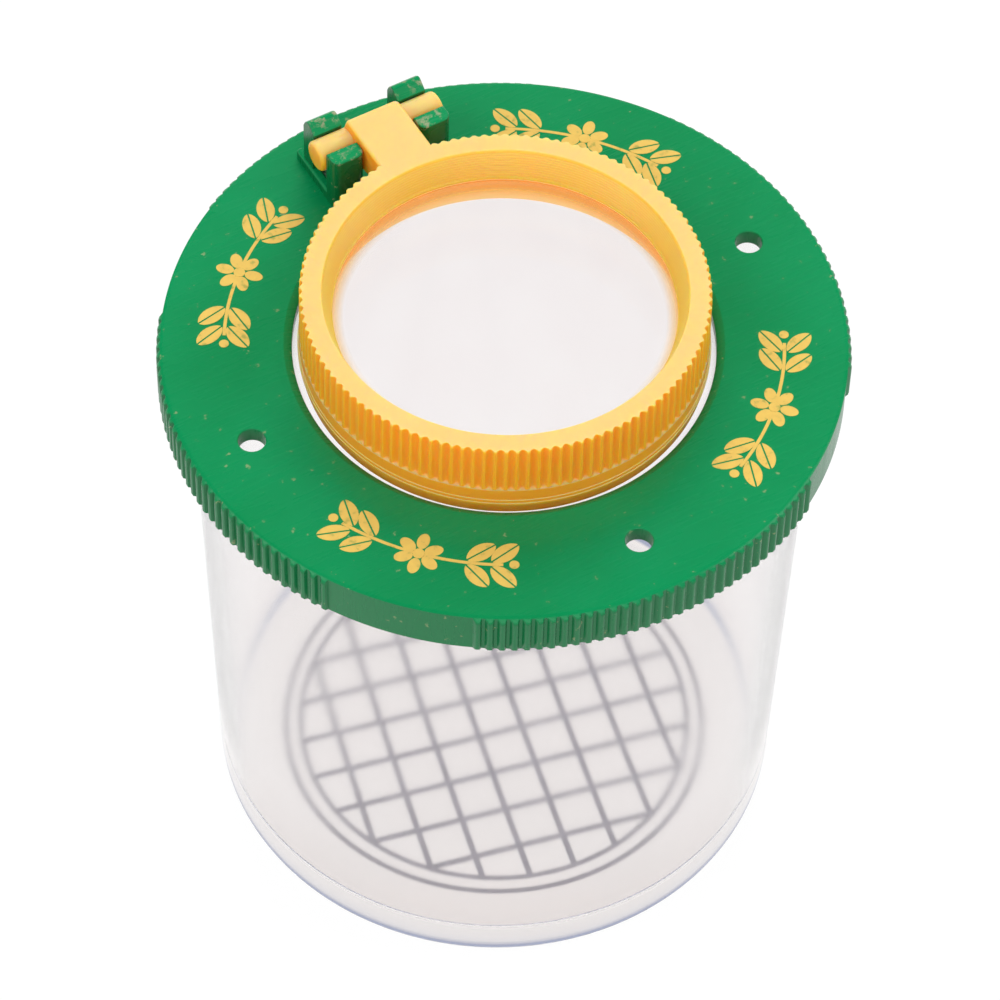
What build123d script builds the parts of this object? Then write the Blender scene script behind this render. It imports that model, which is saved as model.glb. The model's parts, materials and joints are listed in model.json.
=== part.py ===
from build123d import *
import os
from math import cos, radians, sin

# Bug catcher jar: a clear cup with a quarter-turn lid, a lens in the lid and a second lens that flips over it.
# Millimetres, +Z up, origin at the middle of the base, hinge of the flip lens on +Y.

# Jar
jar_height = 66.2
jar_base_radius = 30.6
jar_neck_radius = 32.0
jar_wall = 1.6
neck_height = 5.0
floor_thickness = 1.6
foot_height = 0.6
foot_width = 3.2
base_round = 1.6
floor_round = 2.4
rim_round = 0.5

# Grid printed on the floor, with the jar's axis in the middle of a square
grid_square = 5.0
grid_lines = 8
grid_line_width = 0.9
grid_turn = -13.1
grid_ink = 0.15
inner_ring_radius = 21.7
outer_ring_radius = 23.4
ring_line_width = 0.7

# Quick thread between jar and lid, the same helix on both
thread_starts = 4
thread_lead = 20.0
thread_depth = 1.0
thread_width = 0.7
thread_root = 0.3
thread_turn = 42.6
ramp_sweep = 25.0
lug_sweep = 14.0
ramp_below_rim = 1.2
thread_gap = 0.25
thread_radial_gap = 0.4

# Lid
lid_seat_gap = 0.2
lid_plate = 1.8
lid_height = 5.0
skirt_wall = 1.5
lid_edge_round = 0.8
lid_hole_round = 0.4
pattern_turn = -2.4

# Grip ribs on the skirt, in groups with a smooth land between them
rib_groups = 4
ribs_per_group = 33
rib_pitch_angle = 2.0
rib_radius = 0.4

# Air holes, three of four places on one circle; the hinge has the fourth
air_hole_radius = 1.4
air_hole_inset = 4.95
air_hole_angles = (0, 180, 270)

# Lens in the lid, the ledge over its edge and the collar that holds it
lens_ledge = 0.8
fixed_lens_edge = 2.0
fixed_lens_top_sag = 1.1
fixed_lens_bottom_sag = 2.2
lens_gap = 0.1
collar_wall = 1.3
collar_bead = 0.5
collar_bead_height = 0.8

# Ring of the flip lens, with a spigot that dips into the hole of the lid
ring_wall = 1.8
ring_height = 8.0
funnel_flare = 1.0
lens_overlap = 1.4
lens_edge_depth = 3.0
ring_ledge = 0.5
ring_edge_round = 0.2
spigot_step = 0.5
spigot_gap = 0.3
spigot_side_gap = 1.6
knurl_count = 120
knurl_radius = 0.36
smooth_band = 2.0

# Lens in the ring
flip_lens_radius = 18.8
flip_lens_edge = 2.0
flip_lens_sag = 1.6
nub_count = 6
nub_radius = 0.5
nub_turn = 25.0

# Hinge: a bar across the end of the arm, held between a hook and a post on each side
arm_reach = 6.1
hinge_height = 5.2
bar_radius = 1.65
bar_half_length = 7.3
bar_edge_round = 0.35
hinge_gap = 0.1
arm_half_width = 3.05
arm_gap = 0.25
arm_depth = 3.2
arm_overhang = 0.45
arm_round = 0.5
clip_width = 3.3
post_depth = 1.6
post_height = 7.2
post_round = 0.9
hook_depth = 1.9
hook_height = 7.6
hook_wrap = 36.0
hook_nose = 0.35
hook_round = 0.45
end_wall_width = 1.1
end_wall_proud = 0.3
end_wall_overrun = 1.4
end_wall_height = 1.2
end_wall_round = 0.35

# Sizes worked out from the ones above
lens_seat_radius = flip_lens_radius + lens_gap
ring_radius = lens_seat_radius + ring_wall
spigot_radius = ring_radius - spigot_step
lens_edge_radius = flip_lens_radius - lens_overlap
ring_top_radius = lens_edge_radius + funnel_flare
lid_hole_radius = spigot_radius + spigot_side_gap
fixed_lens_radius = lid_hole_radius + lens_ledge
hinge_distance = ring_radius + arm_reach
mouth_radius = jar_neck_radius - jar_wall
floor_top = foot_height + floor_thickness
neck_bottom = jar_height - neck_height
lid_bore = jar_neck_radius + thread_depth + thread_radial_gap
lid_radius = lid_bore + skirt_wall
air_hole_circle = lid_bore - air_hole_inset
lid_under = jar_height + lid_seat_gap
lid_top = lid_under + lid_plate
skirt_bottom = lid_top - lid_height
collar_bore = fixed_lens_radius + lens_gap
collar_radius = collar_bore + collar_wall
fixed_lens_top = lid_under - lens_gap
bead_top = fixed_lens_top - fixed_lens_edge - lens_gap
collar_bottom = bead_top - collar_bead_height
ring_top = lid_top + ring_height
lens_edge_top = ring_top - lens_edge_depth
ledge_bottom = lens_edge_top - ring_ledge
ledge_rise = flip_lens_sag * (1 - (lens_edge_radius / flip_lens_radius) ** 2)
flip_lens_top = ledge_bottom - lens_gap - ledge_rise
fixed_lens_rise = fixed_lens_top_sag * (1 - (lens_seat_radius / fixed_lens_radius) ** 2)
ring_bottom = fixed_lens_top + fixed_lens_rise + spigot_gap
hinge_z = lid_top + hinge_height
clip_bore = bar_radius + hinge_gap
clip_start = arm_half_width + arm_gap
post_back = hinge_distance - clip_bore
post_front = post_back - post_depth
hook_front = hinge_distance + clip_bore
hook_back = hook_front + hook_depth
slot_width = clip_width + end_wall_proud - end_wall_width
plate_middle = lid_top - lid_plate / 2
ramp_middle = jar_height - ramp_below_rim
lug_middle = ramp_middle - thread_width - thread_gap
tolerance = 1e-6


def helical_rib(inner_radius, outer_radius, middle_z, sweep_angle):
    # one short rib on the thread's helix, centred on the X axis
    rise = thread_lead * sweep_angle / 360
    with BuildPart() as rib:
        with BuildLine() as path:
            Helix(thread_lead, rise, (inner_radius + outer_radius) / 2)
        with BuildSketch(Plane(path.line @ 0, x_dir=(1, 0, 0), z_dir=path.line % 0)):
            Rectangle(outer_radius - inner_radius, thread_width)
        sweep(is_frenet=True)
    return Pos(0, 0, middle_z - rise / 2) * Rot(0, 0, -sweep_angle / 2) * rib.part


def lens(radius, edge, top_sag, bottom_sag, top_z):
    # a lens with a cylindrical edge, domed above and below it
    bottom_z = top_z - edge
    with BuildPart() as glass:
        with BuildSketch(Plane.XZ):
            with BuildLine():
                ThreePointArc((-radius, top_z), (0, top_z + top_sag), (radius, top_z))
                Line((radius, top_z), (radius, bottom_z))
                ThreePointArc((radius, bottom_z), (0, bottom_z - bottom_sag), (-radius, bottom_z))
                Line((-radius, bottom_z), (-radius, top_z))
            make_face()
            split(bisect_by=Plane.YZ)
        revolve(axis=Axis.Z)
    return glass.part


# Jar: one turned wall with the thread ramps round its mouth
ramp = helical_rib(jar_neck_radius - thread_root, jar_neck_radius + thread_depth, ramp_middle, ramp_sweep)
with BuildPart() as jar:
    with BuildSketch(Plane.XZ):
        with BuildLine():
            Polyline(
                (0, foot_height),
                (jar_base_radius - foot_width, foot_height),
                (jar_base_radius - foot_width, 0),
                (jar_base_radius, 0),
                (jar_neck_radius, neck_bottom),
                (jar_neck_radius, jar_height),
                (mouth_radius, jar_height),
                (mouth_radius, neck_bottom),
                (jar_base_radius - jar_wall, floor_top),
                (0, floor_top),
                close=True,
            )
        make_face()
        fillet(vertices().group_by(Axis.Y)[0].sort_by(Axis.X)[-1], base_round)
        fillet(vertices().group_by(Axis.Y)[-1], rim_round)
        fillet(vertices().filter_by(lambda v: abs(v.Y - floor_top) < tolerance).sort_by(Axis.X)[-1], floor_round)
    revolve(axis=Axis.Z)
    with PolarLocations(0, thread_starts, thread_turn):
        add(ramp)
jar.part.label = "jar"

# Grid: squares inside one ring, with a second ring round them
grid_plane = Plane.XY.offset(floor_top).rotated((0, 0, grid_turn))
with BuildPart() as measuring_grid:
    for ring_middle in (inner_ring_radius, outer_ring_radius):
        with BuildSketch(grid_plane):
            Circle(ring_middle + ring_line_width / 2)
            Circle(ring_middle - ring_line_width / 2, mode=Mode.SUBTRACT)
        extrude(amount=grid_ink)
    with BuildSketch(grid_plane):
        with GridLocations(grid_square, 0, grid_lines, 1):
            Rectangle(grid_line_width, 2 * inner_ring_radius)
        with GridLocations(0, grid_square, 1, grid_lines):
            Rectangle(2 * inner_ring_radius, grid_line_width)
        Circle(inner_ring_radius, mode=Mode.INTERSECT)
    extrude(amount=grid_ink)
measuring_grid.part.label = "measuring_grid"

# Lid: ribbed outline, rounded by a turned envelope, hollowed, then the hinge clips
lug = helical_rib(jar_neck_radius + thread_radial_gap, lid_bore + thread_root, lug_middle, lug_sweep)
rib_span = (ribs_per_group - 1) * rib_pitch_angle
with BuildPart() as lid:
    with BuildSketch(Plane.XY.offset(skirt_bottom)):
        Circle(lid_radius)
        for group in range(rib_groups):
            first_rib = group * 360 / rib_groups + pattern_turn - rib_span / 2
            with PolarLocations(lid_radius, ribs_per_group, first_rib, rib_span, endpoint=True):
                Circle(rib_radius)
    extrude(amount=lid_height)
    with BuildSketch(Plane.XZ):
        with Locations((0, skirt_bottom)):
            Rectangle(lid_radius + rib_radius, lid_height, align=(Align.MIN, Align.MIN))
        fillet(vertices().group_by(Axis.Y)[-1].sort_by(Axis.X)[-1], lid_edge_round)
    revolve(axis=Axis.Z, mode=Mode.INTERSECT)
    with BuildSketch(Plane.XZ):
        with BuildLine():
            Polyline(
                (0, lid_top),
                (lid_hole_radius, lid_top),
                (lid_hole_radius, lid_under),
                (collar_bore, lid_under),
                (collar_bore, bead_top),
                (collar_bore - collar_bead, bead_top),
                (collar_bore - collar_bead, collar_bottom),
                (collar_radius, collar_bottom),
                (collar_radius, lid_under),
                (lid_bore, lid_under),
                (lid_bore, skirt_bottom),
                (0, skirt_bottom),
                close=True,
            )
        make_face()
    revolve(axis=Axis.Z, mode=Mode.SUBTRACT)
    circles = edges().filter_by(GeomType.CIRCLE)
    hole_edges = circles.filter_by(lambda e: abs(e.radius - lid_hole_radius) < tolerance)
    fillet(hole_edges.sort_by(Axis.Z)[-1], lid_hole_round)
    with PolarLocations(0, thread_starts, thread_turn):
        add(lug)
    with BuildSketch(Plane.XY.offset(lid_under)):
        for angle in air_hole_angles:
            with PolarLocations(air_hole_circle, 1, angle + pattern_turn):
                Circle(air_hole_radius)
    extrude(amount=lid_plate, mode=Mode.SUBTRACT)
    for clip_x in (clip_start, -clip_start - clip_width):
        # slot under the bar, then post and hook standing either side of it
        slot_x = clip_x if clip_x > 0 else clip_x + clip_width - slot_width
        with BuildSketch(Plane.XY.offset(lid_under)):
            with Locations((slot_x, post_back)):
                Rectangle(slot_width, 2 * clip_bore, align=(Align.MIN, Align.MIN))
        extrude(amount=lid_plate, mode=Mode.SUBTRACT)
        with BuildSketch(Plane.XY.offset(plate_middle)):
            with Locations((clip_x, post_front)):
                Rectangle(clip_width, post_depth, align=(Align.MIN, Align.MIN))
            fillet(vertices().group_by(Axis.Y)[0], post_round)
        extrude(amount=post_height + lid_plate / 2)
        tip_y = hinge_distance + clip_bore * cos(radians(hook_wrap))
        tip_z = hinge_z + clip_bore * sin(radians(hook_wrap))
        hook_top = lid_top + hook_height
        with BuildSketch(Plane.YZ.offset(clip_x)):
            with BuildLine():
                Line((hook_front, plate_middle), (hook_front, hinge_z))
                CenterArc((hinge_distance, hinge_z), clip_bore, 0, hook_wrap)
                Polyline(
                    (tip_y, tip_z),
                    (tip_y, tip_z + hook_nose),
                    (hook_front + hook_depth / 2, hook_top),
                    (hook_back, hook_top - hook_depth / 2),
                    (hook_back, plate_middle),
                    (hook_front, plate_middle),
                )
            make_face()
            fillet(vertices().group_by(Axis.Y)[-1], hook_round)
        extrude(amount=clip_width)
        wall_x = clip_x + slot_width if clip_x > 0 else clip_x - end_wall_proud
        with BuildSketch(Plane.XZ.offset(-hook_back - end_wall_overrun)):
            with Locations((wall_x, plate_middle)):
                Rectangle(end_wall_width, lid_plate / 2 + end_wall_height, align=(Align.MIN, Align.MIN))
            fillet(vertices().group_by(Axis.Y)[-1], end_wall_round)
        extrude(amount=hook_back + end_wall_overrun - post_front - post_round)
lid.part.label = "lid"

# Lens in the lid
fixed_lens = lens(fixed_lens_radius, fixed_lens_edge, fixed_lens_top_sag, fixed_lens_bottom_sag, fixed_lens_top)
fixed_lens.label = "fixed_lens"

# Ring, arm and hinge bar of the flip lens
with BuildPart() as magnifier_frame:
    with BuildSketch(Plane.XZ):
        with BuildLine():
            Polyline(
                (ring_top_radius, ring_top),
                (ring_radius, ring_top),
                (ring_radius, lid_top),
                (spigot_radius, lid_top),
                (spigot_radius, ring_bottom),
                (lens_seat_radius, ring_bottom),
                (lens_seat_radius, ledge_bottom),
                (lens_edge_radius, ledge_bottom),
                (lens_edge_radius, lens_edge_top),
                close=True,
            )
        make_face()
        fillet(vertices().group_by(Axis.Y)[-1], ring_edge_round)
    revolve(axis=Axis.Z)
    with BuildSketch(Plane.XY.offset(lid_top + smooth_band)):
        with PolarLocations(ring_radius, knurl_count):
            Circle(knurl_radius)
    extrude(amount=ring_height, mode=Mode.SUBTRACT)
    with PolarLocations(lens_seat_radius, nub_count, nub_turn):
        with Locations((0, 0, flip_lens_top - flip_lens_edge - lens_gap - nub_radius)):
            Sphere(nub_radius)
    with BuildSketch(Plane.YZ.offset(-arm_half_width)):
        with BuildLine():
            Polyline(
                (ring_radius - knurl_radius, ring_top),
                (hinge_distance + arm_overhang, ring_top),
                (hinge_distance + bar_radius, hinge_z),
            )
            CenterArc((hinge_distance, hinge_z), bar_radius, 0, -90)
            Polyline(
                (hinge_distance, hinge_z - bar_radius),
                (ring_radius - knurl_radius, ring_top - arm_depth),
                (ring_radius - knurl_radius, ring_top),
            )
        make_face()
        fillet(vertices().group_by(Axis.Y)[-1].sort_by(Axis.X)[-1], arm_round)
    extrude(amount=2 * arm_half_width)
    with BuildSketch(Plane.YZ.offset(-bar_half_length)):
        with Locations((hinge_distance, hinge_z)):
            Circle(bar_radius)
    extrude(amount=2 * bar_half_length)
    bar_ends = edges().filter_by(GeomType.CIRCLE).group_by(Axis.X)
    fillet(bar_ends[0] + bar_ends[-1], bar_edge_round)
magnifier_frame.part.label = "magnifier_frame"

# Lens in the ring
flip_lens = lens(flip_lens_radius, flip_lens_edge, flip_lens_sag, flip_lens_sag, flip_lens_top)
flip_lens.label = "flip_lens"

os.makedirs("parts", exist_ok=True)
export_step(jar.part, "parts/jar.step")
export_step(measuring_grid.part, "parts/measuring_grid.step")
export_step(lid.part, "parts/lid.step")
export_step(fixed_lens, "parts/fixed_lens.step")
export_step(magnifier_frame.part, "parts/magnifier_frame.step")
export_step(flip_lens, "parts/flip_lens.step")
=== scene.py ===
import json
from math import atan2, cos, degrees, hypot, pi, radians, sin, sqrt

import bmesh
import bpy
from mathutils import Matrix, Vector


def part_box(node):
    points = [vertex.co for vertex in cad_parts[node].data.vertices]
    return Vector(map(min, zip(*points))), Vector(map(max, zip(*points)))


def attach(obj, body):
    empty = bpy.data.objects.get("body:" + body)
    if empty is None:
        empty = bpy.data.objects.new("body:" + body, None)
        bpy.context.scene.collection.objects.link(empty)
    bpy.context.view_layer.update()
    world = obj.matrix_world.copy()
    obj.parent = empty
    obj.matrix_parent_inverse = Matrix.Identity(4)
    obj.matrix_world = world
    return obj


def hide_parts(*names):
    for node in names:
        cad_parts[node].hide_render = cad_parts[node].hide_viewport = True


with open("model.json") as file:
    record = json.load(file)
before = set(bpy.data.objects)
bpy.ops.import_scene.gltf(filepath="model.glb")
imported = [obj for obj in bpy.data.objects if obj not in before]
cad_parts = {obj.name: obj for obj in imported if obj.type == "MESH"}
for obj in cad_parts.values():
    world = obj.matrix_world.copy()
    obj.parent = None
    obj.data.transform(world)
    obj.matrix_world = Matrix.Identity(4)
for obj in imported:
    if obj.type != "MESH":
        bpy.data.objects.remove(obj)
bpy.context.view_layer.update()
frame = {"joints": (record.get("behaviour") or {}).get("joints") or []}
mm = 0.001

# places that the frame gives, in mm
joints = {joint["name"]: joint for joint in frame["joints"]}
hingeY = joints["lens_flip"]["pos_m"][1] / mm
hingeZ = joints["lens_flip"]["pos_m"][2] / mm
lidTop = joints["lid_twist"]["pos_m"][2] / mm
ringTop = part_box("magnifier_frame")[1].z / mm - 0.005  # a hair low: the arm stands proud of the lip
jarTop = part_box("jar")[1].z / mm
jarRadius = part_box("jar")[1].x / mm
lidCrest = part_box("lid")[1].x / mm
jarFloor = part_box("measuring_grid")[0].z / mm
print("frame loaded")


# Shapes

def arc(centreR, centreZ, radius, start, end, count):
    # points of a round, angles in degrees from +R towards +Z
    angles = [radians(start + (end - start) * i / count) for i in range(count + 1)]
    return [(centreR + radius * cos(a), centreZ + radius * sin(a)) for a in angles]


def dome(radius, edgeZ, sag, count):
    # points from the edge of a lens to its middle
    ball = (radius ** 2 + sag ** 2) / (2 * abs(sag))
    side = 1 if sag > 0 else -1
    spots = [radius * (1 - i / count) for i in range(count + 1)]
    return [(r, edgeZ + sag - side * (ball - sqrt(ball ** 2 - r ** 2))) for r in spots]


def turn(bm, profile, steps, centre=(0.0, 0.0)):
    # a profile of (radius, height) in mm, turned about an upright axis: a grid rolled up, welded later
    rows = len(profile) - 1
    grid = bmesh.ops.create_grid(bm, x_segments=steps, y_segments=rows, size=0.5)
    for v in grid["verts"]:
        angle = 2 * pi * (v.co.x + 0.5)
        r, z = profile[round((v.co.y + 0.5) * rows)]
        v.co = Vector((centre[0] + r * cos(angle), centre[1] + r * sin(angle), z)) * mm


def trim(bm, limit):
    # pull points in to the radius that the limit gives for their angle and height, in mm
    for v in bm.verts:
        radius = hypot(v.co.x, v.co.y)
        most = limit(degrees(atan2(v.co.y, v.co.x)), v.co.z / mm) * mm
        if radius > most:
            v.co.x *= most / radius
            v.co.y *= most / radius


def pull(outline, low, high, axis):
    # an outline in the plane across the axis, pulled along it, as a bmesh of its own
    bm = bmesh.new()
    spots = [(low, p[0], p[1]) if axis == "X" else (p[0], p[1], low) for p in outline]
    bm.faces.new([bm.verts.new(Vector(spot) * mm) for spot in spots])
    way = Vector((1, 0, 0)) if axis == "X" else Vector((0, 0, 1))
    thicken(bm, way * (high - low))
    return bm


def thicken(bm, way):
    # give flat faces a body along a vector in mm
    grown = bmesh.ops.extrude_face_region(bm, geom=list(bm.faces), use_keep_orig=True)
    moved = [g for g in grown["geom"] if isinstance(g, bmesh.types.BMVert)]
    bmesh.ops.translate(bm, vec=way * mm, verts=moved)
    bmesh.ops.recalc_face_normals(bm, faces=bm.faces)


def roundEdges(bm, test, offset, segments):
    # bevel the edges whose two ends pass the test, which takes mm
    edges = [e for e in bm.edges if test(e.verts[0].co / mm, e.verts[1].co / mm)]
    bmesh.ops.bevel(bm, geom=edges, offset=offset * mm, segments=segments, profile=0.5,
                    affect="EDGES", material=-1)


def close(bm):
    # weld the seams of turned shapes and point the faces outwards
    bmesh.ops.remove_doubles(bm, verts=bm.verts, dist=0.0002 * mm)
    bmesh.ops.recalc_face_normals(bm, faces=bm.faces)


def join(bm, other):
    # take a finished bmesh into another
    mesh = bpy.data.meshes.new("part")
    other.to_mesh(mesh)
    other.free()
    bm.from_mesh(mesh)
    bpy.data.meshes.remove(mesh)


def unite(shapes):
    # one closed skin from shapes that overlap, so that no wall is left inside the plastic
    pieces = []
    for bm in shapes:
        mesh = bpy.data.meshes.new("shape")
        bm.to_mesh(mesh)
        bm.free()
        pieces.append(bpy.data.objects.new("shape", mesh))
        bpy.context.scene.collection.objects.link(pieces[-1])
    for other in pieces[1:]:
        union = pieces[0].modifiers.new("union", "BOOLEAN")
        union.operation = "UNION"
        union.solver = "EXACT"
        union.object = other
    solved = pieces[0].evaluated_get(bpy.context.evaluated_depsgraph_get())
    whole = bmesh.new()
    whole.from_mesh(solved.to_mesh())
    solved.to_mesh_clear()
    for piece in pieces:
        bpy.data.meshes.remove(piece.data)
    return whole


def finishPiece(name, bm, body, material, replaced=None):
    mesh = bpy.data.meshes.new(name)
    bm.to_mesh(mesh)
    bm.free()
    mesh.shade_smooth()
    mesh.set_sharp_from_angle(angle=radians(32))  # rounds stay smooth and corners crisp
    mesh.materials.append(material)
    piece = bpy.data.objects.new(name, mesh)
    bpy.context.scene.collection.objects.link(piece)
    weighted = piece.modifiers.new("even_normals", "WEIGHTED_NORMAL")
    weighted.keep_sharp = True
    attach(piece, body)
    if replaced:
        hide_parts(replaced)
    print("piece", name, len(mesh.polygons), "faces")


# Materials: each has its node settings in a dictionary, with sizes written in mm

def linear(hexColour):
    # sRGB hex to the linear colour that sockets take
    parts = [int(hexColour[i:i + 2], 16) / 255 for i in (1, 3, 5)]
    return [c / 12.92 if c <= 0.04045 else ((c + 0.055) / 1.055) ** 2.4 for c in parts] + [1.0]


def addNode(tree, kind, values=None, links=None, stops=()):
    # a number is a socket's place: a mix has its share at 0, numbers at 2 and 3, colours at 6 and 7;
    # a link comes from a socket, or from a node's first live one; stops are a ramp's (position, hex)
    node = tree.nodes.new(kind)
    for key, value in (values or {}).items():
        if isinstance(key, int) or key in node.inputs:
            node.inputs[key].default_value = value
        else:
            setattr(node, key, value)
    for key, source in (links or {}).items():
        if isinstance(source, bpy.types.Node):
            source = next(socket for socket in source.outputs if socket.enabled)
        tree.links.new(source, node.inputs[key])
    for i, (position, hexColour) in enumerate(stops):
        if i == len(node.color_ramp.elements):
            node.color_ramp.elements.new(1.0)
        node.color_ramp.elements[i].position = position
        node.color_ramp.elements[i].color = linear(hexColour)
    return node


def startMaterial(name):
    material = bpy.data.materials.new(name)
    material.use_nodes = True
    material.node_tree.nodes.clear()
    return material, material.node_tree


def fromAxis(tree, place):
    # distance from the upright axis
    flat = addNode(tree, "ShaderNodeVectorMath", {"operation": "MULTIPLY", 1: (1, 1, 0)}, {0: place})
    return addNode(tree, "ShaderNodeVectorMath", {"operation": "LENGTH"}, {0: flat})


greenLook = {
    "flow": {"Scale": 1 / (16.0 * mm), "Detail": 2.0},
    "flowColours": ((0.3, "#02844a"), (0.7, "#048d53")),
    "shadedSideRise": {"From Min": lidTop * mm, "From Max": (lidTop + 1.0) * mm},
    "shadedSideColours": ((0.0, "#05723f"), (1.0, "#046736")),
    "steepShade": {"From Min": 0.2, "From Max": 0.65, "To Min": 1.0, "To Max": 0.0},
    "dust": {"Scale": 1 / (1.1 * mm), "Detail": 3.0, "Roughness": 0.6},
    "specks": {"From Min": 0.67, "From Max": 0.71, "To Max": 0.5},
    "speckColour": "#a9ab7d",
    "clipTops": {"From Min": (lidTop + 6.6) * mm, "From Max": (lidTop + 7.1) * mm},
    "scuffs": {"Scale": 1 / (1.3 * mm), "Detail": 5.0, "Roughness": 0.7},
    "rubs": {"From Min": 0.52, "From Max": 0.62, "To Max": 0.8},
    "chafeColour": "#a8a183",
    "chafeRoughness": 0.35,
    "chafeRelief": 6.0,
    "streaks": {"Rotation": (0, 0, radians(35)), "Scale": (1, 9, 1)},
    "hairlines": {"Scale": 1 / (6.0 * mm), "Detail": 4.0},
    "polish": {"From Min": 0.3, "From Max": 0.75, "To Min": 0.24, "To Max": 0.32},
    "relief": {"Strength": 0.12, "Distance": 0.02 * mm},
    "shader": {"IOR": 1.49, "Specular IOR Level": 0.3},
}


def greenPolypropylene():
    # glossy moulding in one green: faint flow clouds, dust, hairline rubs and chafed tops on the clips, with
    # painted shade on its steep sides
    look = greenLook
    material, tree = startMaterial("green_moulded_polypropylene")
    coords = addNode(tree, "ShaderNodeTexCoord")
    place = coords.outputs["Object"]
    height = addNode(tree, "ShaderNodeSeparateXYZ", links={"Vector": place}).outputs["Z"]
    facing = addNode(tree, "ShaderNodeSeparateXYZ", links={"Vector": coords.outputs["Normal"]}).outputs["Z"]
    flow = addNode(tree, "ShaderNodeTexNoise", look["flow"], {"Vector": place})
    colour = addNode(tree, "ShaderNodeValToRGB", links={"Fac": flow}, stops=look["flowColours"])
    # painted shade: a deeper green where the surface is steep, down the skirt and most of all down the clips
    rise = addNode(tree, "ShaderNodeMapRange", look["shadedSideRise"], {"Value": height})
    side = addNode(tree, "ShaderNodeValToRGB", links={"Fac": rise}, stops=look["shadedSideColours"])
    steepShade = addNode(tree, "ShaderNodeMapRange", look["steepShade"], {"Value": facing})
    colour = addNode(tree, "ShaderNodeMix", {"data_type": "RGBA"}, {0: steepShade, 6: colour, 7: side})
    dust = addNode(tree, "ShaderNodeTexNoise", look["dust"], {"Vector": place})
    specks = addNode(tree, "ShaderNodeMapRange", look["specks"], {"Value": dust})
    colour = addNode(tree, "ShaderNodeMix", {"data_type": "RGBA", 7: linear(look["speckColour"])},
                     {0: specks, 6: colour})
    # chafed only on the tops of the posts and hooks, the highest part of the lid
    tops = addNode(tree, "ShaderNodeMapRange", look["clipTops"], {"Value": height})
    scuffs = addNode(tree, "ShaderNodeTexNoise", look["scuffs"], {"Vector": place})
    rubs = addNode(tree, "ShaderNodeMapRange", look["rubs"], {"Value": scuffs})
    chafe = addNode(tree, "ShaderNodeMath", {"operation": "MULTIPLY"}, {0: tops, 1: rubs})
    colour = addNode(tree, "ShaderNodeMix", {"data_type": "RGBA", 7: linear(look["chafeColour"])},
                     {0: chafe, 6: colour})
    streaks = addNode(tree, "ShaderNodeMapping", look["streaks"], {"Vector": place})
    hairlines = addNode(tree, "ShaderNodeTexNoise", look["hairlines"], {"Vector": streaks})
    polish = addNode(tree, "ShaderNodeMapRange", look["polish"], {"Value": hairlines})
    rough = addNode(tree, "ShaderNodeMath", {"operation": "MULTIPLY_ADD", 1: look["chafeRoughness"]},
                    {0: chafe, 2: polish})
    grain = addNode(tree, "ShaderNodeMath", {"operation": "MULTIPLY_ADD", 1: look["chafeRelief"]},
                    {0: chafe, 2: dust})
    relief = addNode(tree, "ShaderNodeBump", look["relief"], {"Height": grain})
    shader = addNode(tree, "ShaderNodeBsdfPrincipled", look["shader"],
                     {"Base Color": colour, "Roughness": rough, "Normal": relief})
    addNode(tree, "ShaderNodeOutputMaterial", links={"Surface": shader})
    return material


yellowLook = {
    "litTopShadedSideColours": ((0.0, "#ffaa2a"), (0.5, "#fdc048"), (0.95, "#ebcb83")),
    "funnelLightRise": {"From Min": (ringTop - 3.2) * mm, "From Max": (ringTop - 0.4) * mm},
    "funnelLitColours": ((0.0, "#ffca36"), (1.0, "#ffe868")),
    "markPitch": 0.28,
    "markShade": {"From Min": 0.03 * mm, "From Max": 0.11 * mm, "To Min": 0.45, "To Max": 0.0},
    "markShadeColour": "#f6ac2a",
    "inside": {"From Min": 18.3 * mm, "From Max": 18.6 * mm, "To Min": 0.7, "To Max": 0.0},
    "under": {"From Min": 19.2 * mm, "From Max": 19.6 * mm, "To Min": 1.0, "To Max": 0.0},
    "below": {"From Min": (ringTop - 3.3) * mm, "From Max": (ringTop - 3.45) * mm},
    "seatColour": "#e9a838",
    "glowFall": {"From Min": (lidTop + 3.0) * mm, "From Max": (lidTop - 1.4) * mm},
    "glowColours": ((0.0, "#ffd22c"), (0.4, "#ffdc68"), (1.0, "#ffe0b0")),
    "nubs": {"From Min": 18.6 * mm, "From Max": 18.8 * mm, "To Min": 1.0, "To Max": 0.0},
    "nubHighlightColour": "#fff0dc",
    "glowStrength": {"To Max": 0.55},
    "haze": {"Scale": 1 / (9.0 * mm), "Detail": 3.0},
    "clouds": {"From Min": 0.35, "From Max": 0.7, "To Max": 0.12},
    "cloudColour": "#f0b050",
    "grit": {"Scale": 1 / (0.9 * mm), "Detail": 3.0},  # coarse: a mould's own grain is too fine to show
    "matt": {"From Min": 0.3, "From Max": 0.7, "To Min": 0.34, "To Max": 0.46},
    "relief": {"Strength": 0.08, "Distance": 0.015 * mm},
    "shader": {"IOR": 1.49, "Specular IOR Level": 0.4, "Subsurface Weight": 0.9,
               "Subsurface Radius": (1.0, 0.4, 0.06), "Subsurface Scale": 2.6 * mm},
}


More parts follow.
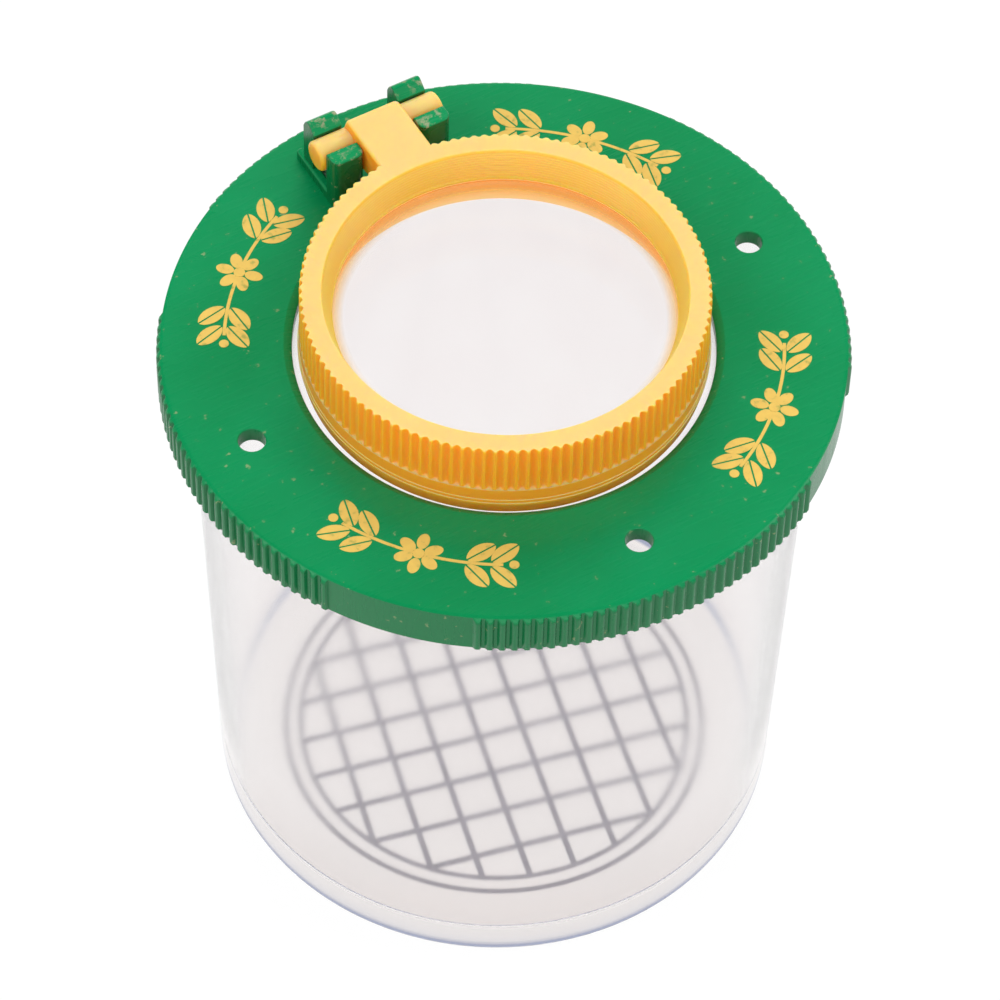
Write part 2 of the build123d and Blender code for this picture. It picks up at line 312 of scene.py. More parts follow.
def yellowPolypropylene():
    # cloudy yellow moulding that lets some light through; its pale top and the deeper orange down its sides
    # are painted light and shade, set by which way the surface faces
    look = yellowLook
    material, tree = startMaterial("yellow_moulded_polypropylene")
    coords = addNode(tree, "ShaderNodeTexCoord")
    place = coords.outputs["Object"]
    height = addNode(tree, "ShaderNodeSeparateXYZ", links={"Vector": place}).outputs["Z"]
    facing = addNode(tree, "ShaderNodeSeparateXYZ", links={"Vector": coords.outputs["Normal"]}).outputs["Z"]
    radius = fromAxis(tree, place)
    # painted light and shade: paler where the surface faces up, deeper orange where it faces sideways
    colour = addNode(tree, "ShaderNodeValToRGB", links={"Fac": facing}, stops=look["litTopShadedSideColours"])
    # painted light: brighter in the funnel, most towards its top; painted shade in its turning marks
    rise = addNode(tree, "ShaderNodeMapRange", look["funnelLightRise"], {"Value": height})
    funnel = addNode(tree, "ShaderNodeValToRGB", links={"Fac": rise}, stops=look["funnelLitColours"])
    wave = addNode(tree, "ShaderNodeMath", {"operation": "PINGPONG", 1: look["markPitch"] / 2 * mm},
                   {0: height})
    markShade = addNode(tree, "ShaderNodeMapRange", look["markShade"], {"Value": wave})
    funnel = addNode(tree, "ShaderNodeMix", {"data_type": "RGBA", 7: linear(look["markShadeColour"])},
                     {0: markShade, 6: funnel})
    inside = addNode(tree, "ShaderNodeMapRange", look["inside"], {"Value": radius})
    colour = addNode(tree, "ShaderNodeMix", {"data_type": "RGBA"}, {0: inside, 6: colour, 7: funnel})
    # under the lens a darker orange base and a faint painted glow, emission standing in for light that soaks
    # through the wall: paler low down, with a painted highlight on the nubs
    under = addNode(tree, "ShaderNodeMapRange", look["under"], {"Value": radius})
    below = addNode(tree, "ShaderNodeMapRange", look["below"], {"Value": height})
    seat = addNode(tree, "ShaderNodeMath", {"operation": "MULTIPLY"}, {0: under, 1: below})
    colour = addNode(tree, "ShaderNodeMix", {"data_type": "RGBA", 7: linear(look["seatColour"])},
                     {0: seat, 6: colour})
    fall = addNode(tree, "ShaderNodeMapRange", look["glowFall"], {"Value": height})
    glow = addNode(tree, "ShaderNodeValToRGB", links={"Fac": fall}, stops=look["glowColours"])
    nubs = addNode(tree, "ShaderNodeMapRange", look["nubs"], {"Value": radius})
    glow = addNode(tree, "ShaderNodeMix", {"data_type": "RGBA", 7: linear(look["nubHighlightColour"])},
                   {0: nubs, 6: glow})
    strength = addNode(tree, "ShaderNodeMapRange", look["glowStrength"], {"Value": seat})
    haze = addNode(tree, "ShaderNodeTexNoise", look["haze"], {"Vector": place})
    clouds = addNode(tree, "ShaderNodeMapRange", look["clouds"], {"Value": haze})
    colour = addNode(tree, "ShaderNodeMix", {"data_type": "RGBA", 7: linear(look["cloudColour"])},
                     {0: clouds, 6: colour})
    grit = addNode(tree, "ShaderNodeTexNoise", look["grit"], {"Vector": place})
    matt = addNode(tree, "ShaderNodeMapRange", look["matt"], {"Value": grit})
    relief = addNode(tree, "ShaderNodeBump", look["relief"], {"Height": grit})
    shader = addNode(tree, "ShaderNodeBsdfPrincipled", look["shader"],
                     {"Base Color": colour, "Roughness": matt, "Normal": relief,
                      "Emission Color": glow, "Emission Strength": strength})
    addNode(tree, "ShaderNodeOutputMaterial", links={"Surface": shader})
    return material


jarLook = {
    "smears": {"Scale": 1 / (18.0 * mm), "Detail": 4.0},
    "soft": {"From Min": 0.3, "From Max": 0.7, "To Min": 0.07, "To Max": 0.1},
    "wallColours": ((0.3, "#fbf9f9"), (0.7, "#fdfbfb")),
    "low": {"From Min": (jarFloor + 1.0) * mm, "From Max": (jarFloor + 14.0) * mm,
            "To Min": 1.0, "To Max": 0.0},
    "floorShadowColour": "#f5f1f0",
    "footRise": {"From Max": 5.0 * mm},
    "paintedFootRefractionColours": ((0.07, "#f5f0ee"), (0.13, "#737ea3"), (0.32, "#737ea3"), (0.48, "#d8d6dc"),
                    (0.7, "#e6e2e3"), (1.0, "#eae5e4")),
    "outer": {"From Min": 29.6 * mm, "From Max": 29.9 * mm},
    "below": {"From Min": 5.0 * mm, "From Max": 5.5 * mm, "To Min": 1.0, "To Max": 0.0},
    "shader": {"IOR": 1.22, "Transmission Weight": 0.95},  # IOR matched to the look, below the usual 1.59
}


def clearPolystyrene():
    # clear moulding with a grey-pink cast and a slight haze, so that what lies behind it is soft
    look = jarLook
    material, tree = startMaterial("clear_moulded_polystyrene")
    place = addNode(tree, "ShaderNodeTexCoord").outputs["Object"]
    height = addNode(tree, "ShaderNodeSeparateXYZ", links={"Vector": place}).outputs["Z"]
    smears = addNode(tree, "ShaderNodeTexNoise", look["smears"], {"Vector": place})
    soft = addNode(tree, "ShaderNodeMapRange", look["soft"], {"Value": smears})
    colour = addNode(tree, "ShaderNodeValToRGB", links={"Fac": smears}, stops=look["wallColours"])
    # painted shadow: greyer towards the floor of the jar, for the shade that the lid throws under it
    low = addNode(tree, "ShaderNodeMapRange", look["low"], {"Value": height})
    colour = addNode(tree, "ShaderNodeMix", {"data_type": "RGBA", 7: linear(look["floorShadowColour"])},
                     {0: low, 6: colour})
    # painted refraction: the bluish cast that the round at the foot gives by bending the light, fading up the
    # wall
    rise = addNode(tree, "ShaderNodeMapRange", look["footRise"], {"Value": height})
    foot = addNode(tree, "ShaderNodeValToRGB", links={"Fac": rise}, stops=look["paintedFootRefractionColours"])
    outer = addNode(tree, "ShaderNodeMapRange", look["outer"], {"Value": fromAxis(tree, place)})
    below = addNode(tree, "ShaderNodeMapRange", look["below"], {"Value": height})
    edge = addNode(tree, "ShaderNodeMath", {"operation": "MULTIPLY"}, {0: outer, 1: below})
    colour = addNode(tree, "ShaderNodeMix", {"data_type": "RGBA"}, {0: edge, 6: colour, 7: foot})
    shader = addNode(tree, "ShaderNodeBsdfPrincipled", look["shader"],
                     {"Base Color": colour, "Roughness": soft})
    addNode(tree, "ShaderNodeOutputMaterial", links={"Surface": shader})
    return material


lensLook = {
    "rubs": {"Scale": 1 / (7.0 * mm), "Detail": 4.0},
    "polish": {"From Min": 0.4, "From Max": 0.8, "To Max": 0.03},
    "colours": ((0.3, "#fdfbfb"), (0.7, "#fefdfd")),
    "shader": {"IOR": 1.25},  # matched to the look, below the usual 1.49
}
rimLooks = {
    "clear_polished_acrylic": {"haze": {"From Min": 21.0 * mm, "From Max": 22.6 * mm},
                               "colours": ((0.0, "#e8f0ea"), (1.0, "#e8f0ea")),
                               "clear": {"To Min": 1.0, "To Max": 0.7}},
    "clear_rimmed_acrylic": {"haze": {"From Min": 16.3 * mm, "From Max": 17.7 * mm},
                             "colours": ((0.62, "#ffd67c"), (0.9, "#ffc04a")),
                             "clear": {"To Min": 1.0, "To Max": 0.6}},
}


def clearAcrylic(name):
    # polished lens, clearer than the jar, with a few faint rubs; its rim is hazy, and tinted with the colour
    # of the plastic round it as a painted reflection
    look = lensLook
    rim = rimLooks[name]
    material, tree = startMaterial(name)
    place = addNode(tree, "ShaderNodeTexCoord").outputs["Object"]
    rubs = addNode(tree, "ShaderNodeTexNoise", look["rubs"], {"Vector": place})
    polish = addNode(tree, "ShaderNodeMapRange", look["polish"], {"Value": rubs})
    colour = addNode(tree, "ShaderNodeValToRGB", links={"Fac": rubs}, stops=look["colours"])
    haze = addNode(tree, "ShaderNodeMapRange", rim["haze"], {"Value": fromAxis(tree, place)})
    # painted reflection: the rim tinted with the colour of the plastic round it
    paintedRimTint = addNode(tree, "ShaderNodeValToRGB", links={"Fac": haze}, stops=rim["colours"])
    colour = addNode(tree, "ShaderNodeMix", {"data_type": "RGBA"}, {0: haze, 6: colour, 7: paintedRimTint})
    clear = addNode(tree, "ShaderNodeMapRange", rim["clear"], {"Value": haze})
    shader = addNode(tree, "ShaderNodeBsdfPrincipled", look["shader"],
                     {"Base Color": colour, "Roughness": polish, "Transmission Weight": clear})
    addNode(tree, "ShaderNodeOutputMaterial", links={"Surface": shader})
    return material


inkLooks = {
    # grey-violet screen ink, a little uneven
    "grey_screen_ink": {"patches": {"Scale": 1 / (2.5 * mm), "Detail": 3.0},
                        "colours": ((0.3, "#a6a2b2"), (0.7, "#b8b4c2")), "shader": {"Roughness": 0.6}},
    # yellow pad-print ink with thin spots where the green shows through
    "yellow_pad_print_ink": {"patches": {"Scale": 1 / (0.8 * mm), "Detail": 3.0},
                             "colours": ((0.26, "#a9a24a"), (0.4, "#dcb95a"), (0.7, "#e3c05c")),
                             "shader": {"Roughness": 0.42}},
}


def ink(name):
    look = inkLooks[name]
    material, tree = startMaterial(name)
    place = addNode(tree, "ShaderNodeTexCoord").outputs["Object"]
    patches = addNode(tree, "ShaderNodeTexNoise", look["patches"], {"Vector": place})
    colour = addNode(tree, "ShaderNodeValToRGB", links={"Fac": patches}, stops=look["colours"])
    shader = addNode(tree, "ShaderNodeBsdfPrincipled", look["shader"], {"Base Color": colour})
    addNode(tree, "ShaderNodeOutputMaterial", links={"Surface": shader})
    return material


green = greenPolypropylene()
yellow = yellowPolypropylene()
clearJar = clearPolystyrene()
clearLens = clearAcrylic("clear_polished_acrylic")
rimmedLens = clearAcrylic("clear_rimmed_acrylic")
greyInk = ink("grey_screen_ink")
yellowInk = ink("yellow_pad_print_ink")
print("materials made")


# Jar
jarShape = {"baseRadius": 30.6, "wall": 1.6, "neckHeight": 5.0, "foot": 0.6, "footWidth": 3.2,
            "footSlope": 1.0, "baseRound": 1.6, "floorRound": 2.4, "rimRound": 0.5, "edge": 0.15,
            "steps": 480}
thread = {"starts": 4, "lead": 20.0, "depth": 1.0, "width": 0.7, "turn": 42.6, "rampSweep": 25.0,
          "lugSweep": 14.0, "belowRim": 1.2, "gap": 0.25, "round": 0.15, "seam": 0.02, "steps": 12}


def helicalRib(bm, inner, outer, middleZ, sweep, angle):
    # a bar on the thread's helix, turned and raised step by step
    steps = thread["steps"]
    rise = thread["lead"] * sweep / 360
    low = middleZ - rise / 2 - thread["width"] / 2
    high = low + thread["width"]
    r = thread["round"]
    outline = [(inner, low), (outer - r, low), (outer, low + r), (outer, high - r), (outer - r, high),
               (inner, high)]
    start = Matrix.Rotation(radians(angle - sweep / 2), 3, "Z")
    face = bm.faces.new([bm.verts.new(start @ Vector((radius, 0, z)) * mm) for radius, z in outline])
    geom = [face] + list(face.verts) + list(face.edges)
    bmesh.ops.spin(bm, geom=geom, cent=(0, 0, 0), axis=(0, 0, 1), dvec=(0, 0, rise / steps * mm),
                   angle=radians(sweep), steps=steps)


def makeJar():
    s = jarShape
    neckBottom = jarTop - s["neckHeight"]
    inner = jarRadius - s["wall"]
    footInner = s["baseRadius"] - s["footWidth"]
    base = s["baseRound"]
    rim = s["rimRound"]
    corner = s["floorRound"]
    profile = [(0, s["foot"]), (footInner - s["footSlope"], s["foot"]), (footInner + s["edge"], 0)]
    profile += arc(s["baseRadius"] - base, base, base, -90, 0, 16)
    profile += [(jarRadius, neckBottom)]
    profile += arc(jarRadius - rim, jarTop - rim, rim, 0, 90, 5)
    profile += arc(inner + rim, jarTop - rim, rim, 90, 180, 5)
    profile += [(inner, neckBottom)]
    profile += arc(s["baseRadius"] - s["wall"] - corner, jarFloor + corner, corner, 0, -90, 16)
    profile += [(0, jarFloor)]
    bm = bmesh.new()
    turn(bm, profile, s["steps"])
    for i in range(thread["starts"]):
        helicalRib(bm, jarRadius + thread["seam"], jarRadius + thread["depth"], jarTop - thread["belowRim"],
                   thread["rampSweep"], thread["turn"] + 360 / thread["starts"] * i)
    close(bm)
    finishPiece("clear_jar", bm, "jar", clearJar, "jar")


makeJar()


# Grid printed on the floor of the jar
gridShape = {"square": 5.0, "lines": 8, "lineWidth": 0.66, "turn": -13.1, "rings": (21.7, 23.4),
             "ringWidth": 0.55, "sink": 0.01, "ink": 0.06, "layer": 0.01, "steps": 180}


def makeGrid():
    s = gridShape
    low = jarFloor - s["sink"]
    high = jarFloor + s["ink"]
    bm = bmesh.new()
    for ring in s["rings"]:
        near = ring - s["ringWidth"] / 2
        far = ring + s["ringWidth"] / 2
        turn(bm, [(near, low), (far, low), (far, high), (near, high), (near, low)], s["steps"])
    close(bm)
    # each way has its own height, so that no two tops lie in one plane
    for layer, across in enumerate((0, 90), 1):
        height = high - low - layer * s["layer"]
        for i in range(s["lines"]):
            offset = (i - (s["lines"] - 1) / 2) * s["square"]
            length = 2 * sqrt(s["rings"][0] ** 2 - offset ** 2)
            place = (Matrix.Rotation(radians(s["turn"] + across), 4, "Z")
                     @ Matrix.Translation(Vector((0, offset, low + height / 2)) * mm)
                     @ Matrix.Diagonal((length * mm, s["lineWidth"] * mm, height * mm, 1)))
            bmesh.ops.create_cube(bm, size=1.0, matrix=place)
    finishPiece("printed_grid", bm, "jar", greyInk, "measuring_grid")


makeGrid()


# Lenses
lenses = {
    "fixed_lens": {"boxSag": 1.1, "edge": 2.0, "topSag": 1.1, "bottomSag": 2.2, "body": "lid_lens",
                   "material": clearLens, "rows": 20, "steps": 160},
    "flip_lens": {"boxSag": 1.6, "edge": 1.4, "topSag": 0.9, "bottomSag": 0.9, "body": "magnifier",
                  "material": rimmedLens, "rows": 20, "steps": 160},
}


def makeLens(node):
    s = lenses[node]
    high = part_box(node)[1] / mm
    topEdge = high.z - s["boxSag"]
    bottomEdge = topEdge - s["edge"]
    profile = dome(high.x, topEdge, s["topSag"], s["rows"])[::-1]
    profile += dome(high.x, bottomEdge, -s["bottomSag"], s["rows"])
    bm = bmesh.new()
    turn(bm, profile, s["steps"])
    close(bm)
    finishPiece("clear_" + node, bm, s["body"], s["material"], node)


for node in lenses:
    makeLens(node)


# Lid
lidShape = {"plate": 1.8, "height": 5.0, "wall": 1.5, "edgeRound": 0.8, "holeRadius": 21.55,
            "bevelWidth": 0.8, "bevelDepth": 0.5, "bevelEase": 0.1, "bevelTop": 0.03, "bevelFoot": 0.06,
            "ledgeRound": 0.08, "ribRadius": 0.4, "ribPitch": 2.0, "ribsPerGroup": 33, "groups": 4,
            "patternTurn": -2.4, "lensSeat": 22.7, "seatDepth": 2.2, "bead": 0.5, "beadHeight": 0.8,
            "collarWall": 1.3, "airHoleRadius": 1.4, "airHoleCircle": 28.45, "airHoles": (0, 180, 270),
            "edge": 0.16, "footRound": 0.3, "footEase": (0.08, 0.1), "boreRound": 0.25,
            "steps": 1440, "holeSteps": 360, "airHoleSteps": 48}
clip = {"shift": 0.2, "start": 3.3, "hookWidth": 3.3, "postWidth": 3.6, "bore": 1.75, "postDepth": 1.9,
        "postHeight": 7.2, "postRound": 0.9, "hookDepth": 1.9, "hookHeight": 7.6, "hookRound": 0.45,
        "hookEdge": 0.14, "hookWrap": 36.0, "nose": 0.35, "slotWidth": 2.5, "wallWidth": 1.1,
        "wallFront": 0.9, "wallOverrun": 1.4, "wallHeight": 1.2, "wallRound": 0.34, "wallEnd": 0.4,
        "sink": 0.6, "seam": 0.03, "edge": 0.2, "near": 0.01}


def ribbedRadius(angle, z):
    # outside of the lid at this angle: ribs in groups, with smooth lands between them
    s = lidShape
    valley = lidCrest - s["ribRadius"]
    group = 360 / s["groups"]
    angle = (angle - s["patternTurn"] + group / 2) % group - group / 2
    rib = round(angle / s["ribPitch"])
    if abs(rib) > s["ribsPerGroup"] // 2:
        return valley
    across = radians(angle - rib * s["ribPitch"]) * lidCrest
    return valley + sqrt(max(0.0, s["ribRadius"] ** 2 - across ** 2))


def span(side, width):
    # the near and far X of a clip on this side, from the arm outwards
    near = clip["shift"] + side * clip["start"]
    return sorted((near, near + side * width))


def makePost(side):
    c = clip
    near, far = span(side, c["postWidth"])
    back = hingeY - c["bore"]
    front = back - c["postDepth"]
    top = lidTop + c["postHeight"]
    post = pull([(near, front), (far, front), (far, back), (near, back)], lidTop - c["sink"], top, "Z")
    roundEdges(post, lambda p, q: abs(p.z - q.z) > 1 and p.y < front + c["near"], c["postRound"], 6)
    roundEdges(post, lambda p, q: min(p.z, q.z) > top - c["near"], c["edge"], 3)
    return post


def makeHook(side):
    c = clip
    near, far = span(side, c["hookWidth"])
    front = hingeY + c["bore"]
    back = front + c["hookDepth"]
    top = lidTop + c["hookHeight"]
    low = lidTop - c["sink"]
    mouth = arc(hingeY, hingeZ, c["bore"], 0, c["hookWrap"], 8)
    tipY, tipZ = mouth[-1]
    outline = [(front, low)] + mouth + [(tipY, tipZ + c["nose"]), ((front + back) / 2, top),
                                        (back, top - c["hookDepth"] / 2), (back, low)]
    hook = pull(outline, near, far, "X")
    ridge = top - c["hookDepth"] / 2 - c["near"]
    roundEdges(hook, lambda p, q: abs(p.x - q.x) > 1 and p.z > ridge and p.y > tipY + 0.1, c["hookRound"], 4)
    roundEdges(hook, lambda p, q: abs(p.x - q.x) < c["near"] and min(p.z, q.z) > tipZ - c["near"],
               c["hookEdge"], 2)
    return hook


def makeEndWall(side):
    # its outer side lies a seam inside the post's, so that the two don't share a plane
    c = clip
    outer = c["shift"] + side * (c["start"] + c["slotWidth"] + c["wallWidth"])
    low, high = sorted((outer - side * c["wallWidth"], outer - side * c["seam"]))
    front = hingeY - c["bore"] - c["postDepth"] + c["wallFront"]
    back = hingeY + c["bore"] + c["hookDepth"] + c["wallOverrun"]
    top = lidTop + c["wallHeight"]
    wall = pull([(low, front), (high, front), (high, back), (low, back)], lidTop - c["sink"], top, "Z")
    roundEdges(wall, lambda p, q: abs(p.z - q.z) > 1 and p.y > back - c["near"], c["wallEnd"], 3)
    roundEdges(wall, lambda p, q: min(p.z, q.z) > top - c["near"], c["wallRound"], 4)
    return wall


def makeLid():
    s = lidShape
    under = lidTop - s["plate"]
    bottom = lidTop - s["height"]
    bore = lidCrest - s["ribRadius"] - s["wall"]
    collar = s["lensSeat"] + s["collarWall"]
    seatBottom = under - s["seatDepth"]
    beadInner = s["lensSeat"] - s["bead"]
    collarBottom = seatBottom - s["beadHeight"]
    hole = s["holeRadius"]
    bevelOuter = hole + s["bevelWidth"]
    bevelBottom = lidTop - s["bevelDepth"]
    ease = s["bevelEase"]
    ledge = s["ledgeRound"]
    edge = s["edge"]
    foot = s["footRound"]
    footIn, footUp = s["footEase"]
    bm = bmesh.new()
    # outside: rounded top edge, skirt with its foot, bore
    outside = arc(lidCrest - s["edgeRound"], lidTop - s["edgeRound"], s["edgeRound"], 90, 0, 9)
    outside += [(lidCrest, bottom + foot), (lidCrest - footIn, bottom + footUp), (lidCrest - foot, bottom),
                (bore + s["boreRound"], bottom), (bore, bottom + s["boreRound"]),
                (bore, under - foot), (bore - foot, under)]
    turn(bm, outside, s["steps"])
    trim(bm, ribbedRadius)
    # bevelled hole for the lens, its ledge and the collar under it
    inside = [(bevelOuter + ease, lidTop), (bevelOuter, lidTop - s["bevelTop"]),
              (hole + ease, bevelBottom + s["bevelFoot"]), (hole, bevelBottom - ease),
              (hole, under + ledge), (hole + ledge, under), (s["lensSeat"], under),
              (s["lensSeat"], seatBottom), (beadInner + edge, seatBottom), (beadInner, seatBottom - edge),
              (beadInner, collarBottom + edge), (beadInner + edge, collarBottom),
              (collar - edge, collarBottom), (collar, collarBottom + edge), (collar, under)]
    turn(bm, inside, s["holeSteps"])
    for angle in s["airHoles"]:
        a = radians(angle + s["patternTurn"])
        r = s["airHoleRadius"]
        wall = arc(r + edge, lidTop - edge, edge, 90, 180, 3) + [(r, under)]
        turn(bm, wall, s["airHoleSteps"], (s["airHoleCircle"] * cos(a), s["airHoleCircle"] * sin(a)))
    # slots under the hinge bar, a seam inside the clips round them
    for side in (1, -1):
        near, far = span(side, clip["slotWidth"])
        near += clip["seam"]
        far -= clip["seam"]
        front = hingeY - clip["bore"] + clip["seam"]
        back = hingeY + clip["bore"] - clip["seam"]
        corners = ((near, front), (far, front), (far, back), (near, back))
        verts = [bm.verts.new(Vector((x, y, lidTop)) * mm) for x, y in corners]
        edges = [bm.edges.new((verts[i], verts[(i + 1) % 4])) for i in range(4)]
        grown = bmesh.ops.extrude_edge_only(bm, edges=edges)
        moved = [g for g in grown["geom"] if isinstance(g, bmesh.types.BMVert)]
        bmesh.ops.translate(bm, vec=(0, 0, -s["plate"] * mm), verts=moved)
    bmesh.ops.remove_doubles(bm, verts=bm.verts, dist=0.0002 * mm)
    # the flat faces of the plate, with their holes left open
    for level, way in ((lidTop, 1), (under, -1)):
        rims = [e for e in bm.edges if e.is_boundary
                and all(abs(v.co.z - level * mm) < 1e-6 for v in e.verts)]
        bmesh.ops.triangle_fill(bm, use_beauty=True, edges=rims, normal=(0, 0, way))
    for i in range(thread["starts"]):
        helicalRib(bm, bore - thread["depth"], bore - thread["seam"],
                   jarTop - thread["belowRim"] - thread["width"] - thread["gap"],
                   thread["lugSweep"], thread["turn"] + 360 / thread["starts"] * i)
    bmesh.ops.recalc_face_normals(bm, faces=bm.faces)
    for side in (1, -1):
        join(bm, makePost(side))
        join(bm, makeHook(side))
        join(bm, makeEndWall(side))
    finishPiece("green_lid", bm, "lid", green, "lid")


makeLid()


# Printed sprigs on the lid, four round the lens between the air holes and the hinge
sprig = {"circle": 28.4, "angles": (45, 135, 225, 315), "halfSpan": 17.0, "stem": 0.34, "stemSteps": 32,
         "leaf": (3.3, 0.85), "leafPoint": 1.4, "vein": 0.09, "leafTilt": 42.0, "leafOut": 0.5,
         "leafSpots": (-14.0, -9.0, 9.0, 14.0), "petals": 6, "petal": (0.95, 0.62), "petalOut": 1.55,
         "heart": 0.6, "berry": 0.5, "berryOut": 2.2, "segments": 24,
         "heights": {"stem": 0.02, "leaf": 0.035, "petal": 0.03, "heart": 0.045}}


def flatShape(bm, shape, place):
    # a filled circle bent to another outline, laid where the matrix says; shape takes and gives mm
    made = bmesh.ops.create_circle(bm, cap_ends=True, segments=sprig["segments"], radius=1.0)
    for v in made["verts"]:
        v.co = place @ Vector((*shape(v.co.x, v.co.y), lidTop)) * mm


def onCircle(angle):
    return Matrix.Rotation(radians(angle), 4, "Z") @ Matrix.Translation((sprig["circle"], 0, 0))


def drawStem(bm, middle):
    s = sprig
    start = Matrix.Rotation(radians(middle - s["halfSpan"]), 4, "Z")
    spots = [start @ Vector((s["circle"] + d, 0, lidTop)) for d in (-s["stem"] / 2, s["stem"] / 2)]
    ends = [bm.verts.new(spot * mm) for spot in spots]
    bmesh.ops.spin(bm, geom=ends + [bm.edges.new(ends)], cent=(0, 0, 0), axis=(0, 0, 1),
                   angle=radians(2 * s["halfSpan"]), steps=s["stemSteps"])


def drawLeaf(bm, middle):
    # pairs of leaves that point away from the flower, each in two halves with the vein left bare
    s = sprig
    long, wide = s["leaf"]
    point = s["leafPoint"]
    for out in s["leafSpots"]:
        way = 1 if out > 0 else -1
        for side in (1, -1):
            tilt = radians(way * (90 + side * s["leafTilt"]))
            place = onCircle(middle + out) @ Matrix.Rotation(tilt, 4, "Z")
            for half in (1, -1):
                flatShape(bm, lambda x, y: (s["leafOut"] + long / 2 * (x + 1),
                                            half * (s["vein"] + wide * max(0.0, y) ** point)), place)


def drawPetal(bm, middle):
    s = sprig
    for i in range(s["petals"]):
        place = onCircle(middle) @ Matrix.Rotation(2 * pi * i / s["petals"], 4, "Z")
        flatShape(bm, lambda x, y: (s["petalOut"] + s["petal"][0] * x, s["petal"][1] * y), place)


def drawHeart(bm, middle):
    # the flower's heart, and a berry past each end of the stem
    s = sprig
    flatShape(bm, lambda x, y: (s["heart"] * x, s["heart"] * y), onCircle(middle))
    for end in (-1, 1):
        place = onCircle(middle + end * (s["halfSpan"] + s["berryOut"]))
        flatShape(bm, lambda x, y: (s["berry"] * x, s["berry"] * y), place)


def makePrint():
    # each kind of shape has its own height, so that no two tops lie in one plane
    kinds = {"stem": drawStem, "leaf": drawLeaf, "petal": drawPetal, "heart": drawHeart}
    bm = bmesh.new()
    for kind, draw in kinds.items():
        layer = bmesh.new()
        for middle in sprig["angles"]:
            draw(layer, middle + lidShape["patternTurn"])
        bmesh.ops.remove_doubles(layer, verts=layer.verts, dist=0.002 * mm)
        thicken(layer, Vector((0, 0, sprig["heights"][kind])))
        join(bm, layer)
    finishPiece("printed_sprigs", bm, "lid", yellowInk)


makePrint()


# Ring, arm and bar of the flip lens
ringShape = {"radius": 20.7, "draft": 0.08, "bandRadius": 20.82, "smoothBand": 2.0, "bandEdge": 0.05,
             "knurls": 120, "knurlTurn": 1.5, "knurlRadius": 0.34, "knurlEnd": 0.3,
             "wallRows": (0.6, 1.5, 3.0, 4.5), "runOutRows": (5, 4, 3, 2, 1, 0.4, 0.05),
             "footSteps": ((0.5, 20.9), (0.1, 20.98)), "stepDrop": 0.03, "footDepth": 0.3, "footEase": 0.05,
             "lipRound": 0.2, "mouth": 18.4, "lensEdge": 17.4, "lensEdgeDepth": 3.0, "lensBevel": 0.12,
             "bevelTop": 0.02, "funnelStart": 0.13, "ledge": 0.5, "ledgeRound": 0.08, "seat": 18.9,
             "seatRound": 0.2, "spigot": 20.75, "spigotDepth": 1.58, "spigotSlope": 0.16, "spigotRound": 0.12,
             "turnMarks": 10, "markDepth": 0.06, "markRise": 0.05, "nubs": 6, "nubRadius": 0.5,
             "nubTurn": 26.0, "nubBelowLedge": 2.75, "steps": 960}
armShape = {"halfWidth": 3.05, "depth": 3.2, "overhang": 0.75, "endRound": 0.6, "sideRound": 0.4,
            "inset": 1.3, "barRadius": 1.65, "barHalf": 7.3, "barRound": 0.4, "barSteps": 48,
            "proud": 0.004, "near": 0.01}


def knurledRadius(angle, z):
    # outside of the ring: grip grooves that run out in a round above the smooth band
    s = ringShape
    above = z - lidTop - s["smoothBand"]
    if above <= 0.005:
        return lidCrest
    pitch = 360 / s["knurls"]
    across = radians((angle + s["knurlTurn"] + pitch / 2) % pitch - pitch / 2) * s["radius"]
    runOut = min(1.0, above / s["knurlEnd"])
    groove = sqrt(max(0.0, s["knurlRadius"] ** 2 - across ** 2)) * sqrt(runOut * (2 - runOut))
    height = ringTop - lidTop - s["smoothBand"]
    return s["radius"] + s["draft"] * (1 - above / height) - groove


def makeRing():
    s = ringShape
    lensEdge = ringTop - s["lensEdgeDepth"]
    ledge = lensEdge - s["ledge"]
    band = lidTop + s["smoothBand"]
    bottom = lidTop - s["spigotDepth"]
    slope = bottom + s["spigotSlope"]
    foot = lidTop - s["footDepth"]
    ease = s["footEase"]
    outer = s["bandRadius"]
    profile = arc(s["radius"] - s["lipRound"], ringTop - s["lipRound"], s["lipRound"], 90, 0, 4)
    profile += [(outer, ringTop - down) for down in s["wallRows"]]
    profile += [(outer, band + s["knurlEnd"] * i / 5) for i in s["runOutRows"]]
    profile += [(outer - s["bandEdge"], band), (outer, band - s["bandEdge"])]
    # two fine steps at the foot of the band, then the spigot under it
    for up, r in s["footSteps"]:
        profile += [(outer, lidTop + up), (r, lidTop + up - s["stepDrop"])]
        outer = r
    profile += [(outer, foot), (s["spigot"] + ease, foot - ease), (s["spigot"], foot - 2 * ease),
                (s["spigot"], bottom + s["spigotRound"]), (s["spigot"] - s["spigotRound"], bottom),
                (s["seat"] + s["seatRound"], slope), (s["seat"], slope + s["seatRound"]), (s["seat"], ledge),
                (s["lensEdge"] + s["ledgeRound"], ledge), (s["lensEdge"], ledge + s["ledgeRound"]),
                (s["lensEdge"], lensEdge - s["lensBevel"]),
                (s["lensEdge"] + s["lensBevel"], lensEdge - s["bevelTop"])]
    # funnel with the fine steps that turning left in its mould
    rise = s["lensEdgeDepth"] - s["lipRound"]
    for i in range(s["turnMarks"]):
        share = i / s["turnMarks"]
        r = s["lensEdge"] + s["funnelStart"] + (s["mouth"] - s["lensEdge"] - s["funnelStart"]) * share
        profile += [(r + s["markDepth"], lensEdge + rise * share),
                    (r, lensEdge + rise * (share + s["markRise"]))]
    profile += arc(s["mouth"] + s["lipRound"], ringTop - s["lipRound"], s["lipRound"], 180, 90, 4)
    bm = bmesh.new()
    turn(bm, profile + profile[:1], s["steps"])
    trim(bm, knurledRadius)
    close(bm)
    return bm


